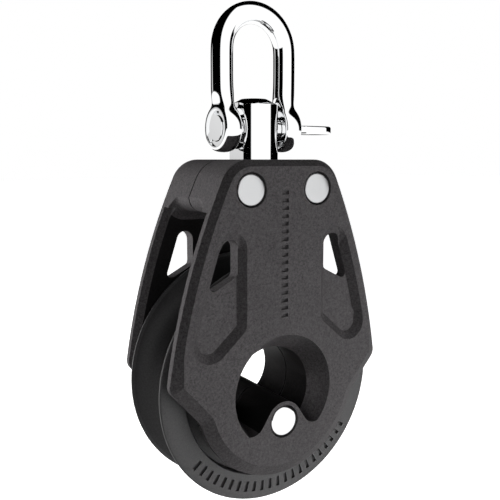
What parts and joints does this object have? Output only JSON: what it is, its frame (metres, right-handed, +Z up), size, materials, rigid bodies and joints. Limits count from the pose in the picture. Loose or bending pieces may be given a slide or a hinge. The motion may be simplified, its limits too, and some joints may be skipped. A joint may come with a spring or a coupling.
{
  "type": "single sheave block",
  "caption": "Single ball-bearing sheave block with moulded cheeks, an open hub, a swivel post and a bow shackle with a captive tab pin.",
  "frame": {"origin": "inside of the shackle's crown, on the middle of the wire, where the block hangs", "axes": "+Z up along the swivel post towards the crown, +X along the shackle pin towards its tab, +Y along the sheave's axis from the front cheek to the rear cheek"},
  "size_m": [0.04, 0.0186, 0.0806],
  "materials": {
    "cheek": "glass-filled nylon, moulded, dark charcoal with a fine matt grain",
    "sheave": "machined acetal, near black, satin on the groove and flange",
    "ball": "white acetal bearing ball",
    "washer": "white acetal washer",
    "rivet": "stainless steel, satin face and bright rim",
    "post": "stainless steel, mirror polished",
    "bow": "stainless steel, mirror polished",
    "pin": "stainless steel, mirror polished"
  },
  "bodies": {
    "shackle": {"shackle_bow": "bow"},
    "pin": {"shackle_pin": "pin"},
    "swivel": {"swivel_post": "post", "thrust_washer": "washer"},
    "block": {"cheek_front": "cheek", "cheek_rear": "cheek", "head_rivet_left": "rivet", "head_rivet_right": "rivet", "hub_rivet": "rivet"},
    "sheave": {"sheave": "sheave"},
    "balls": {"ball_front_01": "ball", "ball_front_02": "ball", "ball_front_03": "ball", "ball_front_04": "ball", "ball_front_05": "ball", "ball_front_06": "ball", "ball_front_07": "ball", "ball_front_08": "ball", "ball_front_09": "ball", "ball_front_10": "ball", "ball_front_11": "ball", "ball_front_12": "ball", "ball_front_13": "ball", "ball_front_14": "ball", "ball_front_15": "ball", "ball_front_16": "ball", "ball_front_17": "ball", "ball_front_18": "ball", "ball_front_19": "ball", "ball_front_20": "ball", "ball_front_21": "ball", "ball_front_22": "ball", "ball_front_23": "ball", "ball_rear_01": "ball", "ball_rear_02": "ball", "ball_rear_03": "ball", "ball_rear_04": "ball", "ball_rear_05": "ball", "ball_rear_06": "ball", "ball_rear_07": "ball", "ball_rear_08": "ball", "ball_rear_09": "ball", "ball_rear_10": "ball", "ball_rear_11": "ball", "ball_rear_12": "ball", "ball_rear_13": "ball", "ball_rear_14": "ball", "ball_rear_15": "ball", "ball_rear_16": "ball", "ball_rear_17": "ball", "ball_rear_18": "ball", "ball_rear_19": "ball", "ball_rear_20": "ball", "ball_rear_21": "ball", "ball_rear_22": "ball", "ball_rear_23": "ball"}
  },
  "joints": [
    {"name": "pin_turn", "type": "hinge", "parent": "shackle", "child": "pin", "pos_m": [0, 0, -0.0165], "axis": [1, 0, 0], "range_deg": [0, 126]},
    {"name": "shackle_swing", "type": "hinge", "parent": "shackle", "child": "swivel", "pos_m": [0, 0, -0.0165], "axis": [1, 0, 0], "range_deg": [-105, 105]},
    {"name": "block_swivel", "type": "hinge", "parent": "swivel", "child": "block", "pos_m": [0, 0, -0.0261], "axis": [0, 0, 1], "continuous": true},
    {"name": "sheave_spin", "type": "hinge", "parent": "block", "child": "sheave", "pos_m": [0, 0, -0.0571], "axis": [0, 1, 0], "continuous": true},
    {"name": "ball_roll", "type": "hinge", "parent": "block", "child": "balls", "pos_m": [0, 0, -0.0571], "axis": [0, 1, 0], "continuous": true}
  ],
  "couplings": [
    {"joint": "ball_roll", "follows": "sheave_spin", "ratio": 0.5652}
  ]
}
